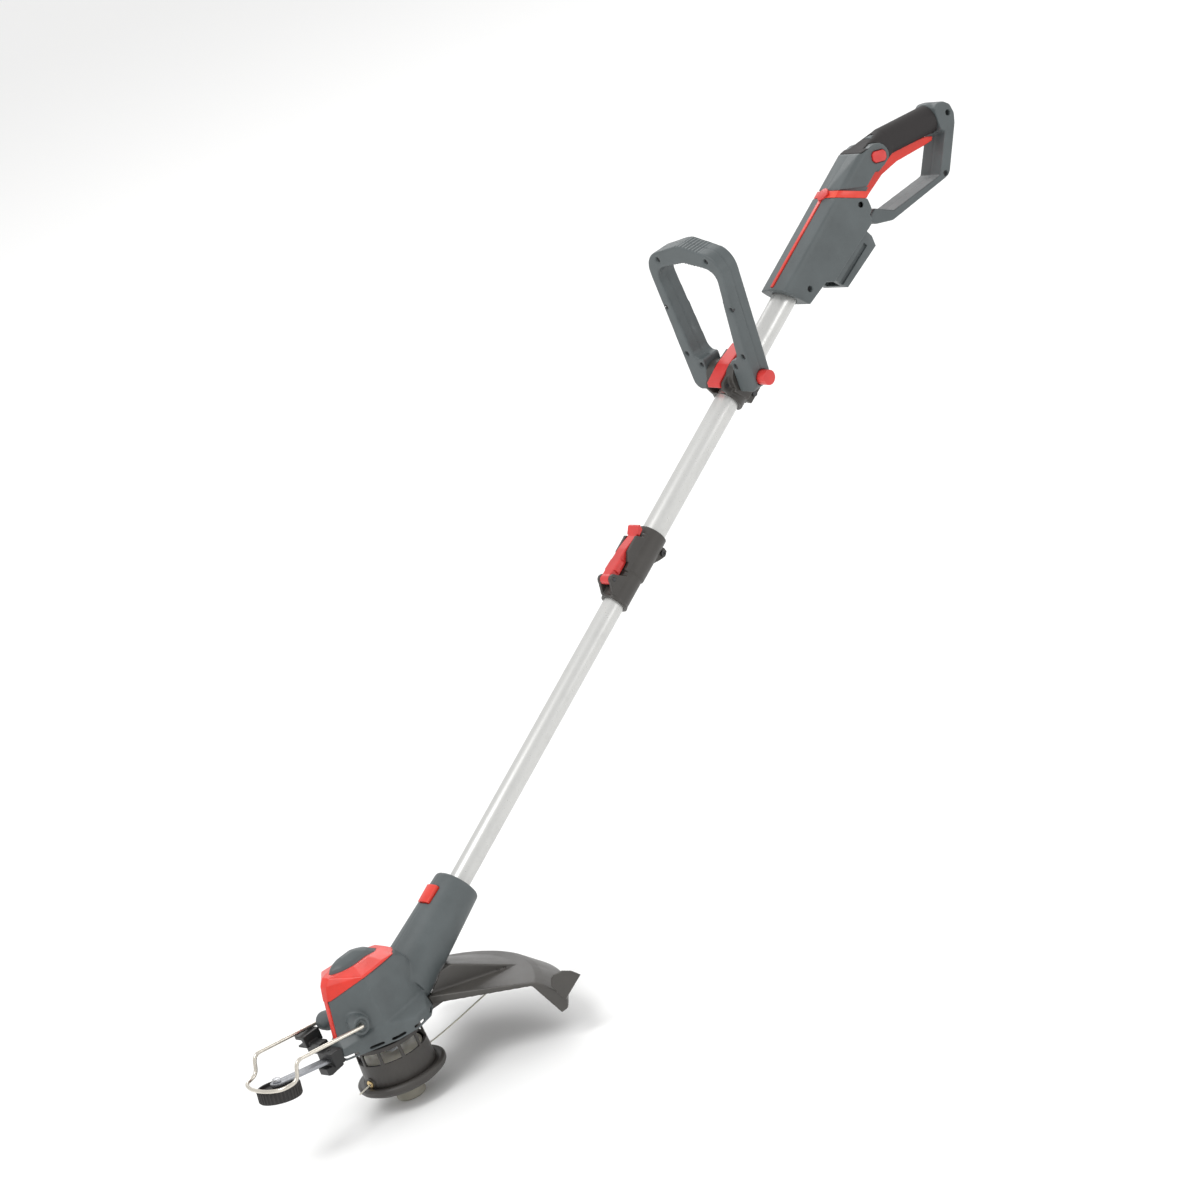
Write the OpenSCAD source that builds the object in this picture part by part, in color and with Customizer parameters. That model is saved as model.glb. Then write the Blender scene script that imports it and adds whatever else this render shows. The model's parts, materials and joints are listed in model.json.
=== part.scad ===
// Cordless string trimmer with a telescopic shaft, a loop handle, a swivelling cutting head,
// a plant guard bow and an edging wheel.
// Millimetres. The origin is the centre of the bump knob's lower face, +Z is the spindle axis,
// +X points forward, away from the operator, and +Y is the operator's left.

/* [Shaft] */
// Lean of the shaft from the spindle axis, degrees
shaft_tilt = 63; // [61:0.5:64]
// Height at which the shaft axis crosses the spindle axis
shaft_base = 82; // [81:0.5:83]
// Outer diameter of the upper tube
upper_tube_d = 25; // [24.5:0.5:25]
// Outer diameter of the lower tube
lower_tube_d = 22; // [21.5:0.5:22]
// Wall of both tubes
tube_wall = 1; // [0.8:0.1:1.2]
// Distance along the shaft at which the upper tube starts
upper_start = 505; // [500:1:510]
// Distance along the shaft at which the rear unit starts
rear_start = 868; // [865:1:870]

/* [Head] */
// Half width of the motor housing
housing_half = 39.5; // [38:0.5:40]
// Height of the skirt's lower edge
skirt_z = 74.5; // [74:0.5:76]
// Radius of the neck where it meets the housing
neck_r1 = 28; // [26:0.5:28]
// Radius of the neck at its mouth
neck_r2 = 23.5; // [22:0.5:24]
// Distance along the shaft of the neck's mouth
neck_end = 160; // [156:1:164]

/* [Line head] */
// Radius of the flange that carries the bump knob
flange_r = 46; // [44:0.5:46]
// Radius of the line head's body
crown_r = 37; // [35:0.5:37]
// Radius of the bump knob
knob_r = 15; // [12:0.5:15]
// Height of the bump knob below the flange
knob_h = 18.5; // [17:0.5:19]
// Diameter of the nylon line
line_d = 1.6; // [1.2:0.2:2]
// Distance from the spindle to the end of the long line
line_reach = 146; // [120:1:148]

/* [Guard] */
// Radius at which the guard turns down into its lip
guard_knee_r = 152; // [150:0.5:154]
// Largest radius of the lip
guard_lip_r = 183; // [180:0.5:184]
// Height of the lip's lower edge
guard_lip_z = 31; // [30:0.5:34]
// Thickness of the guard
guard_t = 3; // [2.5:0.5:3.5]

/* [Bow and wheel] */
// Diameter of the bow's wire
bow_d = 4; // [3.5:0.5:4]
// Forward reach of the bow
bow_reach = 154; // [153:0.5:156]
// Half width of the bow's front
bow_half = 36; // [34:0.5:37]
// Radius of the edging wheel
wheel_r = 22; // [20:0.5:22]
// Tread width of the edging wheel
wheel_w = 12.5; // [10:0.5:13]

/* [Loop handle] */
// Distance of the loop's pivot along the shaft
loop_at = 768; // [764:1:770]
// Turn of the loop's clamp about the shaft, degrees
loop_turn = 5; // [0:0.5:6]
// Depth of the loop's grip, front to back
loop_depth = 24; // [22:1:26]
// Half width of the clamp between the loop's hubs
clamp_half = 20; // [19:0.5:20]

/* [Rear unit] */
// Half width of the rear housing at its widest
rear_half = 23; // [22:0.5:24]
// Radius of the rear grip
grip_r = 15.5; // [15:0.5:16]
// Half width of the closed hand loop behind the grip
hand_half = 17; // [16:0.5:18]

/* [Hidden] */
$fn = 48;

gap = 0.3;              // between bodies that move past each other
fit = 0.05;             // radial running fit
big = 400;              // larger than any part
upper_r = upper_tube_d / 2;
lower_r = lower_tube_d / 2;
upper_end = rear_start + 72;
lower_start = 62;
lower_end = 640;
mouth_a = 494;          // lower end of the shaft clamp
cam_a = 510;            // shaft clamp lever's pin, along the shaft
cam_p = 20.5;             // and out from its axis
loop_p = 11.6;          // loop pivot, out from the shaft's axis
loop_cam_a = 750;
loop_cam_p = 19.5;
hub_r = 17;             // loop hubs and the clamp's side discs
trunnion_r = 7;
button_r = 7.8;         // tilt button
flange_z = knob_h;
crown_z = 29;           // joint between the flange cap and the crown
crown_top = 70;
eyelet_z = 34.2;
boss_x = 39;            // bow pivot
boss_z = 104.5;
boss_y = 33.6;
wheel_x = 133;
wheel_y = 0;
wheel_z = 84;
arm_tilt = 10;          // rise of the wheel arm, degrees
grip_a = 1082.6;        // a point on the rear grip's axis
grip_p = -12.9;
grip_tilt = 31.7;       // the grip falls away from the shaft by this angle
grip_len = 64;
trig_a = 1027;          // trigger pin
trig_p = -3;

// ---- frames ----
module on_shaft() translate([0, 0, shaft_base]) rotate([0, -shaft_tilt, 0]) children();
// across(h): a cylinder's axis along Y
module across() rotate([90, 0, 0]) children();
// side_plate: an outline of [out, along] points, extruded both ways along Y
module side_plate(points, half) rotate([90, 0, 0]) linear_extrude(2 * half,
    center = true) polygon(points);
module left_half() intersection() {
    children();
    translate([-big * 4, 0, -big]) cube([big * 5, big, big * 5]);
}
module right_half() intersection() {
    children();
    translate([-big * 4, -big, -big]) cube([big * 5, big, big * 5]);
}
module tube(r_out, r_in, h) difference() {
    cylinder(r = r_out, h = h);
    translate([0, 0, -1]) cylinder(r = r_in, h = h + 2);
}
function arc(r, a0, a1, n, c = [0, 0]) =
    [for (i = [0:n]) c + r * [cos(a0 + (a1 - a0) * i / n), sin(a0 + (a1 - a0) * i / n)]];

// ---- sweep of a round section along points, for bent wires and lines ----
function unit(v) = v / norm(v);
function heading(pts, i) = let (n = len(pts) - 1)
    unit(pts[min(i + 1, n)] - pts[max(i - 1, 0)]);
function ring_at(pts, i, r, sides, side) = let (
        t = heading(pts, i),
        u = unit(cross(side, t)),
        w = cross(t, u))
    [for (k = [0:sides - 1]) pts[i] + r * (cos(360 * k / sides) * u + sin(360 * k / sides) * w)];
module sweep(pts, r, sides, side) {
    n = len(pts);
    points = [for (i = [0:n - 1]) each ring_at(pts, i, r, sides, side)];
    walls = [for (i = [0:n - 2]) for (k = [0:sides - 1]) let (q = (k + 1) % sides)
        each [[i * sides + k, i * sides + q, (i + 1) * sides + q],
              [i * sides + k, (i + 1) * sides + q, (i + 1) * sides + k]]];
    caps = [[for (k = [0:sides - 1]) sides - 1 - k], [for (k = [0:sides - 1]) (n - 1) * sides + k]];
    outward = [for (f = concat(walls, caps)) [for (j = [len(f) - 1:-1:0]) f[j]]];
    polyhedron(points, outward);
}

// ================= rear unit =================
// outlines are [out from the shaft axis, along the shaft] pairs
ring_front = 990;       // trim band, at the spine
ring_rear = 1015;       // trim band, at the back
band = 9;
function body_side(t = 0) = [
    [20 - t, rear_start + t], [20 - t, ring_front - band / 2 + t], [-15 + t, ring_rear - band / 2 - t],
    [-25 + t, 1006 - t], [-35 + t, 992], [-30 + t, 915], [-21 + t, 908], [-17 + t, rear_start + 9 + t]];
function switch_side(t = 0) = [
    [20 - t, ring_front + band / 2 - t], [17 - t, 1044], [9 - t, 1062], [2, 1070 - t], [-9, 1070 - t],
    [-15 + t, 1063], [-14.5 + t, 1052], [-9 + t, 1040], [-9 + t, ring_rear + band / 2 + 2 - t]];
function body_section(t = 0) = [
    [20 - t, -2], [20 - t, 2], [16.6 - t, 19 - t], [12 - t, 20.5 - t], [-18 + t, rear_half - t],
    [-70, rear_half - t], [-70, t - rear_half], [-18 + t, t - rear_half], [12 - t, t - 20.5],
        [16.6 - t, t - 19]];
function slim_section(t = 0) = both([[20 - t, 2], [16.8 - t, 17 - t], [12 - t, 19.5 - t],
    [-18, rear_half - 1.5 - t], [-40, rear_half - 1.5 - t]]);
module body_solid(t = 0) intersection() {
    side_plate(body_side(t), 30);
    translate([0, 0, 850]) linear_extrude(200) polygon(body_section(t));
}
module switch_solid(t = 0) intersection() {
    side_plate(switch_side(t), 30);
    translate([0, 0, 950]) linear_extrude(150) polygon(slim_section(t));
}
module band_slab(extra = 0) side_plate([
    [30, ring_front - band / 2 - 2 * extra], [30, ring_front + band / 2 - 7],
        [20, ring_front + band / 2],
    [-15, ring_rear + band / 2], [-32, ring_rear + band / 2 + 2], [-32, ring_rear - band / 2 + 2],
    [-15, ring_rear - band / 2], [20, ring_front - band / 2]], 40);
module band_core(t) intersection() {
    side_plate([[20 - t, ring_front - 8], [20 - t, ring_front + 8], [-14 + t, ring_rear + 8],
        [-14 + t, ring_rear - 8]], 30);
    translate([0, 0, 950]) linear_extrude(100) polygon(slim_section(t));
}
// the hand loop behind the grip, an open band
hand_outer = [[-32, 996], [-45, 1000], [-60, 1016], [-91, 1093], [-93, 1099], [-92, 1104],
    [-68, 1149], [-61, 1157], [-51, 1160.5], [-43, 1157.5], [-37, 1150], [-58, 1129]];
hand_inner = [[-28, 1012], [-54.5, 1025], [-83.5, 1092], [-62.5, 1133], [-40, 1127]];
module hand_loop() difference() {
    hull() {
        side_plate(hand_outer, hand_half - 2.5);
        side_plate([for (q = hand_outer) [q[0] * 0.985 - 0.9, q[1] * 0.985 + 16]], hand_half);
    }
    side_plate(concat([[-10, 1000], [-31, 1010]], [for (i = [1:3]) hand_inner[i]], [[-30, 1120],
        [0, 1060]]), 40);
}
module grip_end() hull() {
    grip_at(grip_len) cylinder(r = grip_r + 1, h = 5, $fn = 32);
    side_plate([[-60, 1131], [-61, 1150], [-51, 1158], [-43, 1155]], hand_half - 2.5);
}
module grip_at(d) translate([grip_p, 0, grip_a]) rotate([0, -grip_tilt, 0]) translate([0, 0,
    d]) children();
module outer_grip() grip_at(-4) cylinder(r = grip_r, h = grip_len + 3.9);
module grip_blend() hull() {
    grip_at(-4) cylinder(r = grip_r - 0.4, h = 4, $fn = 32);
    translate([0, 0, 1043]) linear_extrude(1)
        polygon(both([[16.4, 14.5], [9.5, 18.8], [-13.6, 19.2]]));
}
// the part of the handle that the soft overmould covers, in side view
grip_zone = concat([[40, 1045], [15, 1045]], arc(14, 10, 150, 8, [-3.5, 1056]),
    [[-30, 1060], [-90, 1110], [-90, 1180], [40, 1180]]);
module handle_form() {
    switch_solid();
    grip_blend();
    outer_grip();
}
module trigger_room(g = 0) side_plate([[2 + g, 1020 - g], [-40, 1020 - g], [-50, 1100],
    [-64, 1123 + g], [-52 + g, 1130.5 + g], [-15 + g, 1077], [-8 + g, 1050], [2 + g, 1034 + g]],
        7.5 + g);
module rear_shells() difference() {
    union() {
        body_solid();
        band_core(2);
        difference() {
            handle_form();
            side_plate(grip_zone, 40);
        }
        difference() {
            grip_at(-20) cylinder(r = grip_r - 3, h = grip_len + 22);
            side_plate([[50, 950], [50, 1040], [-50, 1040], [-50, 950]], 40);
        }
        difference() {
            hand_loop();
            grip_at(-20) cylinder(r = 20, h = grip_len + 20.5);
        }
        grip_end();
    }
    // recess for the spine strip and its band
    spine_strip(0);
    // hollow inside
    intersection() {
        body_solid(2.5);
        side_plate([[40, rear_start + 40], [40, 1002], [-24, 1006], [-24, rear_start + 40]], 40);
    }
    switch_room();
    // tube socket
    translate([0, 0, rear_start - 5]) cylinder(r = upper_r, h = upper_end - rear_start + 5);
    trigger_room(gap);
    // seats for the lock button, the trigger pin and the housing screws
    lock_way(gap);
    translate([trig_p, 0, trig_a]) across() cylinder(r = 2, h = 35.2, center = true);
    for (q = screw_seats) translate([q[0], q[2] - 3, q[1]]) rotate([-90, 0, 0]) cylinder(r = 3, h = 20);
    for (q = screw_seats) translate([q[0], q[3], q[1]]) rotate([-90, 0, 0]) cylinder(r = 1.5, h = q[2] - q[3]);
    battery_seat();
}
// screw places: out, along, head's depth and the tip's
screw_seats = [[-8, 890, 19, 12.4], [-12, 1000, 19, -6], [-30, 1001, 19, -6], [-88.5, 1098, 15, -6],
    [-54, 1151, 12, -6]];
module switch_room() side_plate([[11, 984], [11, 1040], [6, 1058], [-4, 1060], [-5, 1018],
    [-6, 1000]], 15.5);
module battery_seat() side_plate([[-24, 916], [-60, 916], [-60, 984], [-36, 984], [-28, 981]], 20);
module spine_strip(t) {
    translate([18.4, -2, rear_start + 4]) cube([5, 4, ring_front - rear_start - 4]);
}
module housing_left() color("#596265") on_shaft() left_half() rear_shells();
module housing_right() color("#525b5e") on_shaft() right_half() rear_shells();
module soft_grip() color("#2f2c2d") on_shaft() difference() {
    intersection() {
        union() {
            grip_blend();
            outer_grip();
            switch_solid();
        }
        side_plate(grip_zone, 40);
    }
    grip_at(-20) cylinder(r = grip_r - 3, h = grip_len + 40);
    switch_room();
    trigger_room(gap);
    lock_way(gap);
}
module spine_trim() color("#f03a26") on_shaft() difference() {
    union() {
        translate([18.4, -1.9, rear_start + 4.1]) cube([2.4, 3.8, ring_front - rear_start - 8.2]);
        translate([18.4, -1.9, ring_front - 6]) cube([0.8, 3.8, 4]);
        intersection() {
            band_slab();
            band_core(-0.4);
        }
    }
    band_core(2);
    translate([20.3, 0, ring_front - 1]) badge_form(0.1);
    trigger_room(gap);
}
module badge_form(g) rotate([0, 90, 0]) translate([0, 0, -1]) linear_extrude(2.4)
    polygon([for (q = arc(1, 0, 350, 23)) [q[0] * (8 + g),
        q[1] * (7 + g) * (q[0] > 0 ? 1 - q[0] * 0.35 : 1)]]);
module badge() color("#d92f2a") on_shaft() intersection() {
    translate([20.3, 0, ring_front - 1]) badge_form(0);
    difference() {
        translate([19.3, -20, 950]) cube([30, 40, 80]);
        band_core(0);
        body_solid();
        switch_solid();
    }
}
module housing_screws() color("#2b2b2d") on_shaft() for (q = screw_seats) translate([q[0], 0, q[1]]) {
    translate([0, q[2] - 3, 0]) rotate([-90, 0, 0]) difference() {
        cylinder(r = 2.8, h = 2);
        translate([0, 0, 1]) cylinder(r = 1.4, h = 2, $fn = 6);
    }
    translate([0, q[3], 0]) rotate([-90, 0, 0]) cylinder(r = 1.5, h = q[2] - q[3] - 3);
}
// battery dock: a rail block that the pack slides on from the lower end
module battery_dock() color("#4d5659") on_shaft() difference() {
    side_plate([[-24, 916.1], [-49, 922], [-54, 979], [-44, 983.9], [-36, 983.9], [-28, 980.9]], 19.8);
    for (s = [-1, 1]) translate([0, s * 19.8, 0])
        side_plate([[-36, 900], [-41, 900], [-44.5, 972], [-39.5, 972]], 3.2);
    side_plate([[-30, 900], [-44, 900], [-47, 968], [-33, 968]], 11);
    for (s = [-1, 1]) translate([0, s * 6, 0]) side_plate([[-40, 925], [-60, 925], [-60, 962],
        [-40, 962]], 1);
}
module battery_terminals() color("#c9a24a") on_shaft() for (y = [-7.5, -2.5, 2.5, 7.5])
    translate([-40, y, 940]) rotate([0, -3, 0]) translate([-5, -0.5, 0]) cube([10, 1, 27.8]);
module control_board() color("#2f6b45") on_shaft() {
    translate([-19, -16, 945]) cube([1.6, 32, 42]);
    translate([-17.4, -10, 952]) cube([4, 9, 14]);
    translate([-17.4, 4, 950]) cube([2.5, 8, 10]);
    for (z = [970, 978]) translate([-17.4, -3, z]) rotate([0, 90, 0]) cylinder(r = 3, h = 7);
}
module trigger_switch() color("#26282a") on_shaft() {
    translate([-1.4, -7, 1038]) cube([8.8, 14, 12.6]);
    translate([-3, -2.5, 1041]) cube([1.7, 5, 5]);
}
module trigger() color("#f03a26") on_shaft() difference() {
    union() {
        side_plate([[0, 1022], [-10, 1021], [-24, 1021], [-26.5, 1050], [-34.5, 1073], [-56, 1111],
            [-60, 1120],
            [-58, 1123.5], [-50, 1117], [-27, 1084], [-17.5, 1062], [-9, 1046], [0, 1032]], 7);
        translate([trig_p, 0, trig_a]) across() cylinder(r = 4, h = 14, center = true);
    }
    translate([trig_p, 0, trig_a]) across() cylinder(r = 2 + fit, h = 38, center = true);
    side_plate([[-20, 1056], [-24, 1060], [-31, 1076], [-27, 1080]], 4);
    translate([-8, 0, 1051.6]) rotate([0, -105, 0]) cylinder(r = 3, h = 11);
}
module trigger_pin() color("#b9bcc0") on_shaft() translate([trig_p, 0, trig_a]) across()
    cylinder(r = 2, h = 35, center = true);
module trigger_spring() color("#a9adb2") on_shaft() translate([-8.8, 0, 1051.4]) rotate([0, -105, 0])
    tube(2.6, 1.8, 9);
// outline of the lock button, and the plunger behind it
module lock_way(g = 0, deep = 9) translate([-3.5, 0, 1056]) rotate([0, -41, 0]) {
    translate([0, (deep + 40) / 2, 0]) side_plate([[5.8 + g, -6.2 - g / 2], [5.8 + g, 6.2 + g / 2],
        [2.8, 9 + g], [-2.8, 9 + g],
        [-5.8 - g, 6.2 + g / 2], [-5.8 - g, -6.2 - g / 2], [-2.8, -9 - g], [2.8, -9 - g]],
            (40 - deep) / 2);
    across() cylinder(r = 3 + g, h = 30, center = true);
}
module lock_button() color("#e8352c") on_shaft() intersection() {
    lock_way(0, 12.8);
    translate([-40, 9, 1000]) cube([80, 12.8, 100]);
}
module lock_spring() color("#a9adb2") on_shaft() translate([-3.5, 1.5, 1056]) rotate([-90, 0,
    0]) tube(2.6, 2.0, 7.4);

// ================= shaft =================
module upper_tube() color("#dcdcd8") on_shaft() translate([0, 0, upper_start])
    tube(upper_r, upper_r - tube_wall, upper_end - upper_start);
module lower_tube() color("#dcdcd8") on_shaft() translate([0, 0, lower_start])
    tube(lower_r, lower_r - tube_wall, lower_end - lower_start);
module guide_bush() color("#3a3d40") on_shaft() difference() {
    union() {
        translate([0, 0, lower_end]) cylinder(r = upper_r - tube_wall - fit, h = 14);
        translate([0, 0, lower_end - 20]) cylinder(r = lower_r - tube_wall, h = 21);
    }
    translate([0, 0, lower_end - 21]) cylinder(r = 6.5, h = 40);
}
module coil_lead() color("#202224") on_shaft() translate([0, 0, lower_end + 15]) cylinder(r = 5,
    h = 270);

// shaft clamp: a split collar on the upper tube that a cam lever tightens on the lower one
module clamp_body() color("#474441") on_shaft() difference() {
    union() {
        translate([0, 0, mouth_a]) cylinder(r = 13.8, h = 36);
        translate([0, 0, mouth_a]) cylinder(r = 14.4, h = 2.5);
        translate([0, 0, mouth_a + 33]) cylinder(r1 = 13.8, r2 = 15.3, h = 2);
        translate([0, 0, mouth_a + 35]) cylinder(r = 15.3, h = 50);
        // ears for the lever's pin
        for (s = [-1, 1]) translate([0, s * 8.9, 0]) {
            side_plate([[9, 498], [12, 497], [cam_p + 3, cam_a - 4], [cam_p + 3, cam_a + 4],
                [9, 522]], 1.9);
            translate([cam_p, 0, cam_a]) across() cylinder(r = 5.4, h = 3.8, center = true);
            side_plate([[8, 534], [17, 534], [22.5, 543], [22.5, 562], [8, 568]], 1.9);
        }
        translate([0, 0, 526]) linear_extrude(44) polygon([[4, -10.8], [14.6, -10.8], [14.6, 10.8],
            [4, 10.8]]);
        // lug for the clamp screw
        side_plate([[-10, 562], [-16, 574], [-21, 573], [-22.5, 568], [-20, 562], [-10, 546]], 6);
    }
    translate([0, 0, upper_start - 0.1]) cylinder(r = upper_r, h = 100);
    translate([0, 0, mouth_a - 1]) cylinder(r = lower_r + fit, h = 50);
    translate([cam_p, 0, cam_a]) across() cylinder(r = 2, h = 40, center = true);
    translate([12, -5, mouth_a - 1]) cube([20, 1.4, 22]);
    translate([-17.6, 0, 568]) across() cylinder(r = 1.6, h = 40, center = true);
}
module clamp_screw() color("#2b2b2d") on_shaft() translate([-17.6, 0, 568]) across() {
    cylinder(r = 1.6, h = 12, center = true);
    translate([0, 0, 6]) cylinder(r = 2.9, h = 2.2);
    translate([0, 0, -8.2]) difference() {
        cylinder(r = 2.9, h = 2.2);
        translate([0, 0, -1]) cylinder(r = 1.4, h = 2.2, $fn = 6);
    }
}
module clamp_pin() color("#303234") on_shaft() translate([cam_p, 0, cam_a]) across()
    cylinder(r = 2, h = 21.8, center = true);
module clamp_lever() color("#e04545") on_shaft() difference() {
    union() {
        translate([cam_p, 0, cam_a]) across() cylinder(r = 5.2, h = 13.4, center = true);
        side_plate([[cam_p - 4.8, cam_a], [cam_p + 4.5, cam_a - 2.6], [25, 520], [24, 545], [21, 563],
            [25.6, 572], [24.2, 574.4], [18.6, 572], [15.8, 562], [15.4, 530], [15.3, 517]], 6.7);
        side_plate([[18, 519], [24.8, 519], [24.2, 532], [18, 532]], 8.4);
        side_plate([[18, 565], [21.4, 564], [25.6, 572], [24.2, 574.4], [18.6, 572]], 8.6);
    }
    translate([cam_p, 0, cam_a]) across() cylinder(r = 2 + fit, h = 40, center = true);
}

// ================= loop handle =================
module on_turned() on_shaft() rotate([0, 0, loop_turn]) children();
module at_loop() on_turned() translate([loop_p, 0, loop_at]) rotate([0, shaft_tilt, 0]) children();
// 2D outline across the machine: [left, up] about the pivot
module loop_outline() difference() {
    hull() for (s = [-1, 1]) {
        translate([s * 32, 121]) circle(23);
        translate([s * 36, -1]) circle(11);
        translate([0, 124]) circle(28);
    }
    hull() for (s = [-1, 1]) {
        translate([s * 29, 113]) circle(14);
        translate([s * 24, 32]) circle(9);
        translate([0, 118]) circle(14);
    }
    translate([-clamp_half - gap, -40]) square([2 * (clamp_half + gap), 70]);
}
loop_holes = [[36, 135], [49, 81], [42, 28], [25.5, 16]];
module loop_body() difference() {
    intersection() {
        rotate([90, 0, 90]) linear_extrude(loop_depth, center = true) loop_outline();
        union() {
            translate([-big / 2, -big / 2, hub_r - 6]) cube(big);
            translate([-big / 2, -big / 2, -4]) cube([big, big, 30]);
            across() cylinder(r = hub_r, h = 120, center = true);
        }
    }
    // hollow grip and legs
    rotate([90, 0, 90]) linear_extrude(loop_depth - 6, center = true) for (s = [-1, 1])
        polygon([[s * 40, 38], [s * 46, 72], [s * 43, 72], [s * 37, 38]]);
    across() cylinder(r = trunnion_r + fit, h = 64, center = true);
    translate([0, 60, 0]) across() cylinder(r = button_r + gap, h = 48, center = true);
    for (q = loop_holes) for (s = [-1, 1]) translate([0, s * q[0], q[1]]) rotate([0, 90, 0]) {
        translate([0, 0, loop_depth / 2 - 4]) cylinder(r = 2.9, h = 10);
        translate([0, 0, -8]) cylinder(r = 1.4, h = 20);
    }
}
module loop_front() color("#4b4f54") at_loop() intersection() {
    loop_body();
    translate([0, -big, -big]) cube(2 * big);
}
module loop_rear() color("#484c51") at_loop() intersection() {
    loop_body();
    translate([-2 * big, -big, -big]) cube(2 * big);
}
module loop_screws() color("#1f2022") at_loop() for (q = loop_holes) for (s = [-1, 1])
    translate([0, s * q[0], q[1]]) rotate([0, 90, 0]) {
        translate([0, 0, -8]) cylinder(r = 1.4, h = loop_depth / 2 + 4);
        translate([0, 0, loop_depth / 2 - 4]) cylinder(r = 2.7, h = 1.6);
    }
module tilt_button() color("#e04545") at_loop() rotate([-90, 0, 0]) {
    translate([0, 0, 45]) cylinder(r = button_r, h = 12.5);
    translate([0, 0, 41]) cylinder(r = 4, h = 5);
}
module tilt_spring() color("#a9adb2") at_loop() rotate([-90, 0, 0]) translate([0, 0, 37]) tube(6.5,
    5.6, 7.8);
module loop_clamp() color("#3d3a39") difference() {
    union() {
        on_turned() {
            translate([0, 0, 744]) cylinder(r = 16.6, h = 48);
            side_plate([[2, 746], [16, 744], [16.4, 790], [2, 792]], 14);
            side_plate([[-8, 752], [12, 748], [16, 790], [-8, 790]], clamp_half);
            // cheeks beside the lever
            for (s = [-1, 1]) translate([0, s * 11.6, 0])
                side_plate([[10, 744], [21, 743.5], [25.5, 748], [26, 760], [23.5, 792], [10, 792]], 2);
            // split lug under the shaft
            side_plate([[-12, 756], [-24, 758], [-24, 778], [-12, 780]], 7);
        }
        at_loop() {
            across() cylinder(r = hub_r - 0.4, h = 2 * clamp_half, center = true);
            across() cylinder(r = trunnion_r, h = 62, center = true);
        }
    }
    on_turned() {
        translate([0, 0, 700]) cylinder(r = upper_r + fit, h = 150);
        translate([loop_cam_p, 0, loop_cam_a]) across() cylinder(r = 2, h = 60, center = true);
        translate([16.3, -9.3, 700]) cube([30, 18.6, 120]);
        // room for the cam's heel as the lever opens
        translate([loop_cam_p, 0, loop_cam_a]) across() cylinder(r = 8.4, h = 19, center = true);
        translate([-40, -1, 700]) cube([30, 2, 120]);
        translate([-20, 0, 768]) across() cylinder(r = 1.6, h = 60, center = true);
    }
}
module loop_clamp_screw() color("#2b2b2d") on_turned() translate([-20, 0, 768]) across() {
    cylinder(r = 1.6, h = 15, center = true);
    for (s = [-1, 1]) translate([0, 0, s * 8.1]) cylinder(r = 3, h = 2.1, center = true);
}
module loop_cam_pin() color("#303234") on_turned() translate([loop_cam_p, 0, loop_cam_a]) across()
    cylinder(r = 2, h = 27, center = true);
module loop_cam_lever() color("#e04545") on_turned() difference() {
    union() {
        translate([loop_cam_p, 0, loop_cam_a]) across() cylinder(r = 2.9, h = 18, center = true);
        side_plate([[loop_cam_p - 2.5, loop_cam_a - 2], [23, 744], [27, 747], [28, 770], [24, 799],
            [20.5, 801],
            [17.5, 798], [18, 785], [16.8, 770], [16.8, 752]], 9);
    }
    translate([loop_cam_p, 0, loop_cam_a]) across() cylinder(r = 2 + fit, h = 60, center = true);
}

// ================= cutting head =================
module neck_form() on_shaft() {
    translate([0, 0, 45]) cylinder(r1 = neck_r1 + 1, r2 = neck_r2, h = neck_end - 47);
    translate([0, 0, neck_end - 2]) cylinder(r1 = neck_r2, r2 = neck_r2 - 1.5, h = 2);
}
function both(half) = concat(half, [for (i = [len(half) - 1:-1:0]) [half[i][0], -half[i][1]]]);
// plan outlines at four heights, inset by t
function skirt_plan(t = 0) = both([[59.5 - t, 13 - t / 2], [36 - t, 29.5 - t], [14, 45.5 - t],
    [-10, 50.5 - t],
    [-31 + t / 2, 43.5 - t], [-46 + t, 27 - t / 2], [-53 + t, 9]]);
function waist_plan(t = 0) = both([[54 - t, 4], [18, housing_half - t], [-28 + t, 31 - t],
    [-44 + t, 24 - t]]);
module housing_form(t = 0) hull() {
    translate([0, 0, 90]) linear_extrude(4) polygon(waist_plan(t));
    translate([0, 0, 132 - t]) linear_extrude(0.5) polygon(both([[46.3 - t, 4],
        [18, housing_half - 1.5 - t],
        [-28 + t, 29.5 - t], [-44 + t, 22 - t]]));
    translate([0, 0, 146 - t]) linear_extrude(0.5) polygon(both([[42 - t, 5], [18, 34.5 - t],
        [-14, 29.5 - t]]));
    translate([0, 0, 144 - t]) linear_extrude(0.5) polygon(both([[-10, 30 - t], [-28 + t, 26 - t],
        [-38 + t, 17 - t]]));
    translate([0, 0, 152.5 - t]) linear_extrude(0.5) polygon(both([[36 - t, 5], [11, 16 - t],
        [-8, 15 - t]]));
    translate([0, 0, 148.6 - t]) linear_extrude(0.5) polygon(both([[0, 15 - t], [-26 + t, 13 - t],
        [-33 + t, 7]]));
}
module skirt_form(t = 0) hull() {
    translate([0, 0, skirt_z]) linear_extrude(1.5) polygon(skirt_plan(t));
    translate([0, 0, 85.5 - t]) linear_extrude(0.5) polygon(skirt_plan(t + 1.5));
    translate([0, 0, 94 - t]) linear_extrude(0.5) polygon(waist_plan(t));
}
module boss_form(s) hull() {
    translate([boss_x, s * (boss_y - 5), boss_z]) across() cylinder(r = 9.4, h = 10, center = true,
        $fn = 32);
    translate([36, s * 18, boss_z + 4]) sphere(r = 8, $fn = 24);
}
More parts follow.
